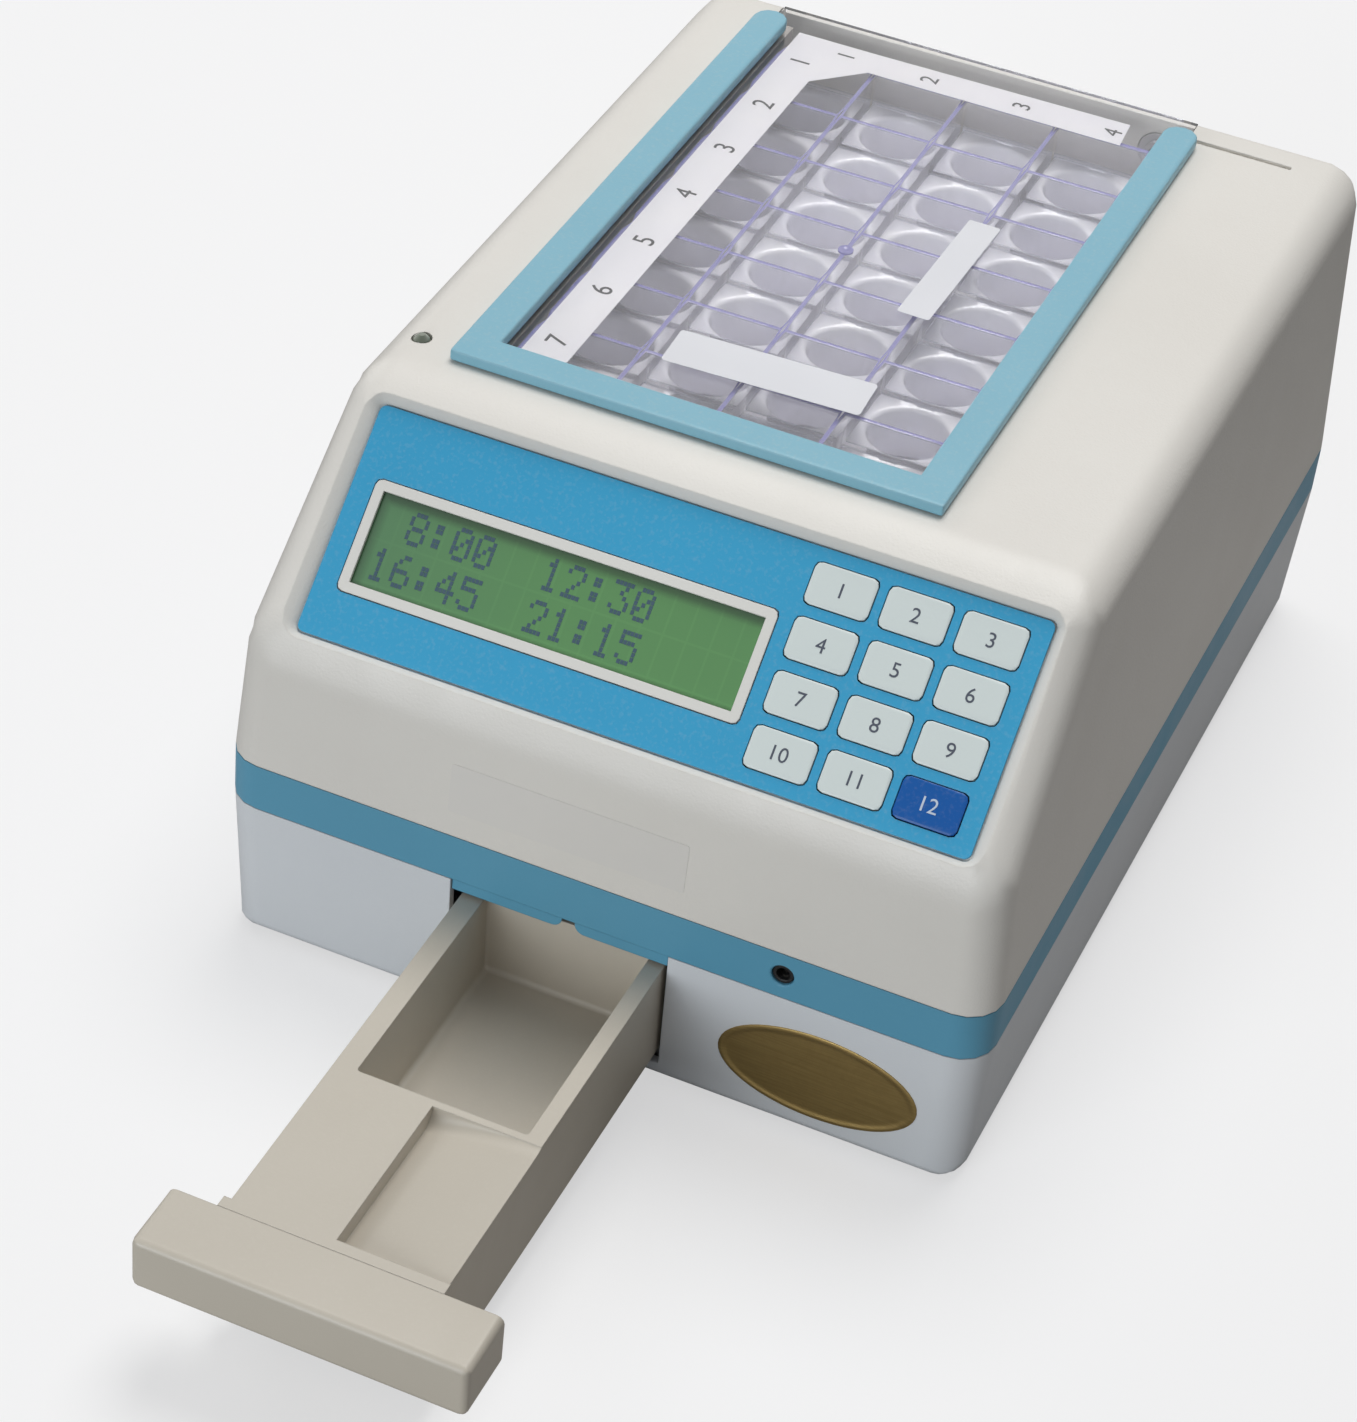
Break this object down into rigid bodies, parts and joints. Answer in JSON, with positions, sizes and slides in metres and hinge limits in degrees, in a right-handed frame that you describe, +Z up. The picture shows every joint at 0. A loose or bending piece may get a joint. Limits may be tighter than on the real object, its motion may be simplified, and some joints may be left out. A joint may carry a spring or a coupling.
{
  "type": "automatic pill dispenser",
  "caption": "Desk-top pill dispenser: wedge-fronted housing with console, celled tray under a clear window, chute and sliding drawer.",
  "frame": {"origin": "on the table, in the middle of the whole outline with the drawer open", "axes": "+Z up; the console and the drawer face -Y; +X is to the right of someone facing the console"},
  "size_m": [0.229, 0.4718, 0.166],
  "materials": {
    "top_plastic": "fine moulded grain",
    "base_plastic": "fine moulded grain",
    "band_plastic": "satin",
    "bezel_plastic": "satin",
    "clear_plastic": "polished clear",
    "tray_plastic": "polished clear",
    "overlay": "printed film, satin",
    "lcd_border": "matt",
    "lcd_face": "polished",
    "circuit_board": "solder mask",
    "key_grey": "satin",
    "key_blue": "satin",
    "lamp_lens": "polished",
    "dark_plastic": "matt",
    "mechanism_plastic": "plain moulding",
    "shutter_film": "smooth film",
    "chute_plastic": "smooth",
    "steel": "turned",
    "motor": "matt",
    "battery": "matt sleeve",
    "drawer_plastic": "smooth moulding",
    "rubber_feet": "matt"
  },
  "bodies": {
    "housing": {"base_housing": "base_plastic", "chassis_band": "band_plastic", "top_housing": "top_plastic", "window_bezel": "bezel_plastic", "window_cover": "clear_plastic", "keypad_overlay": "overlay", "lcd_border": "lcd_border", "lcd_glass": "lcd_face", "lcd_module": "circuit_board", "keypad_board": "circuit_board", "alarm_lamp": "lamp_lens", "jack_socket": "dark_plastic", "bay_frame": "mechanism_plastic", "shutter_sheet": "shutter_film", "gear_motor": "motor", "chute": "chute_plastic", "door_pin": "steel", "drawer_runner_left": "chute_plastic", "drawer_runner_right": "chute_plastic", "main_board": "circuit_board", "buzzer": "dark_plastic", "battery_pack": "battery", "power_inlet": "dark_plastic", "foot_1": "rubber_feet", "foot_2": "rubber_feet", "foot_3": "rubber_feet", "foot_4": "rubber_feet"},
    "drawer": {"drawer_body": "drawer_plastic", "drawer_front": "drawer_plastic"},
    "tray": {"pill_tray": "tray_plastic"},
    "roller": {"drive_roller": "mechanism_plastic", "drive_gear": "mechanism_plastic"},
    "pinion": {"motor_pinion": "steel"},
    "door": {"rear_door": "top_plastic"},
    "lock": {"lock_cylinder": "steel", "lock_cam": "steel"},
    "key_01": {"key_01": "key_grey"},
    "key_02": {"key_02": "key_grey"},
    "key_03": {"key_03": "key_grey"},
    "key_04": {"key_04": "key_grey"},
    "key_05": {"key_05": "key_grey"},
    "key_06": {"key_06": "key_grey"},
    "key_07": {"key_07": "key_grey"},
    "key_08": {"key_08": "key_grey"},
    "key_09": {"key_09": "key_grey"},
    "key_10": {"key_10": "key_grey"},
    "key_11": {"key_11": "key_grey"},
    "key_12": {"key_12": "key_blue"}
  },
  "joints": [
    {"name": "drawer_slide", "type": "slide", "parent": "housing", "child": "drawer", "axis": [0, 1, 0], "range_m": [0, 0.136]},
    {"name": "tray_slide", "type": "slide", "parent": "housing", "child": "tray", "axis": [0, 1, 0], "range_m": [0, 0.013]},
    {"name": "roller_spin", "type": "hinge", "parent": "housing", "child": "roller", "pos_m": [-0.0135, -0.00555, 0.1242], "axis": [1, 0, 0], "continuous": true},
    {"name": "pinion_spin", "type": "hinge", "parent": "housing", "child": "pinion", "pos_m": [0.0539, 0.01145, 0.1242], "axis": [1, 0, 0], "continuous": true},
    {"name": "door_hinge", "type": "hinge", "parent": "housing", "child": "door", "pos_m": [-0.0135, 0.22295, 0.12], "axis": [-1, 0, 0], "range_deg": [0, 90]},
    {"name": "lock_turn", "type": "hinge", "parent": "door", "child": "lock", "pos_m": [0.044, 0.23015, 0.148], "axis": [0, -1, 0], "range_deg": [0, 90]},
    {"name": "key_01_press", "type": "slide", "parent": "housing", "child": "key_01", "axis": [0, 0.6824, -0.731], "range_m": [0, 0.0005], "stiffness_N_per_m": 300, "springref_m": -0.0004},
    {"name": "key_02_press", "type": "slide", "parent": "housing", "child": "key_02", "axis": [0, 0.6824, -0.731], "range_m": [0, 0.0005], "stiffness_N_per_m": 300, "springref_m": -0.0004},
    {"name": "key_03_press", "type": "slide", "parent": "housing", "child": "key_03", "axis": [0, 0.6824, -0.731], "range_m": [0, 0.0005], "stiffness_N_per_m": 300, "springref_m": -0.0004},
    {"name": "key_04_press", "type": "slide", "parent": "housing", "child": "key_04", "axis": [0, 0.6824, -0.731], "range_m": [0, 0.0005], "stiffness_N_per_m": 300, "springref_m": -0.0004},
    {"name": "key_05_press", "type": "slide", "parent": "housing", "child": "key_05", "axis": [0, 0.6824, -0.731], "range_m": [0, 0.0005], "stiffness_N_per_m": 300, "springref_m": -0.0004},
    {"name": "key_06_press", "type": "slide", "parent": "housing", "child": "key_06", "axis": [0, 0.6824, -0.731], "range_m": [0, 0.0005], "stiffness_N_per_m": 300, "springref_m": -0.0004},
    {"name": "key_07_press", "type": "slide", "parent": "housing", "child": "key_07", "axis": [0, 0.6824, -0.731], "range_m": [0, 0.0005], "stiffness_N_per_m": 300, "springref_m": -0.0004},
    {"name": "key_08_press", "type": "slide", "parent": "housing", "child": "key_08", "axis": [0, 0.6824, -0.731], "range_m": [0, 0.0005], "stiffness_N_per_m": 300, "springref_m": -0.0004},
    {"name": "key_09_press", "type": "slide", "parent": "housing", "child": "key_09", "axis": [0, 0.6824, -0.731], "range_m": [0, 0.0005], "stiffness_N_per_m": 300, "springref_m": -0.0004},
    {"name": "key_10_press", "type": "slide", "parent": "housing", "child": "key_10", "axis": [0, 0.6824, -0.731], "range_m": [0, 0.0005], "stiffness_N_per_m": 300, "springref_m": -0.0004},
    {"name": "key_11_press", "type": "slide", "parent": "housing", "child": "key_11", "axis": [0, 0.6824, -0.731], "range_m": [0, 0.0005], "stiffness_N_per_m": 300, "springref_m": -0.0004},
    {"name": "key_12_press", "type": "slide", "parent": "housing", "child": "key_12", "axis": [0, 0.6824, -0.731], "range_m": [0, 0.0005], "stiffness_N_per_m": 300, "springref_m": -0.0004}
  ],
  "couplings": [
    {"joint": "pinion_spin", "follows": "roller_spin", "ratio": -2.4}
  ]
}
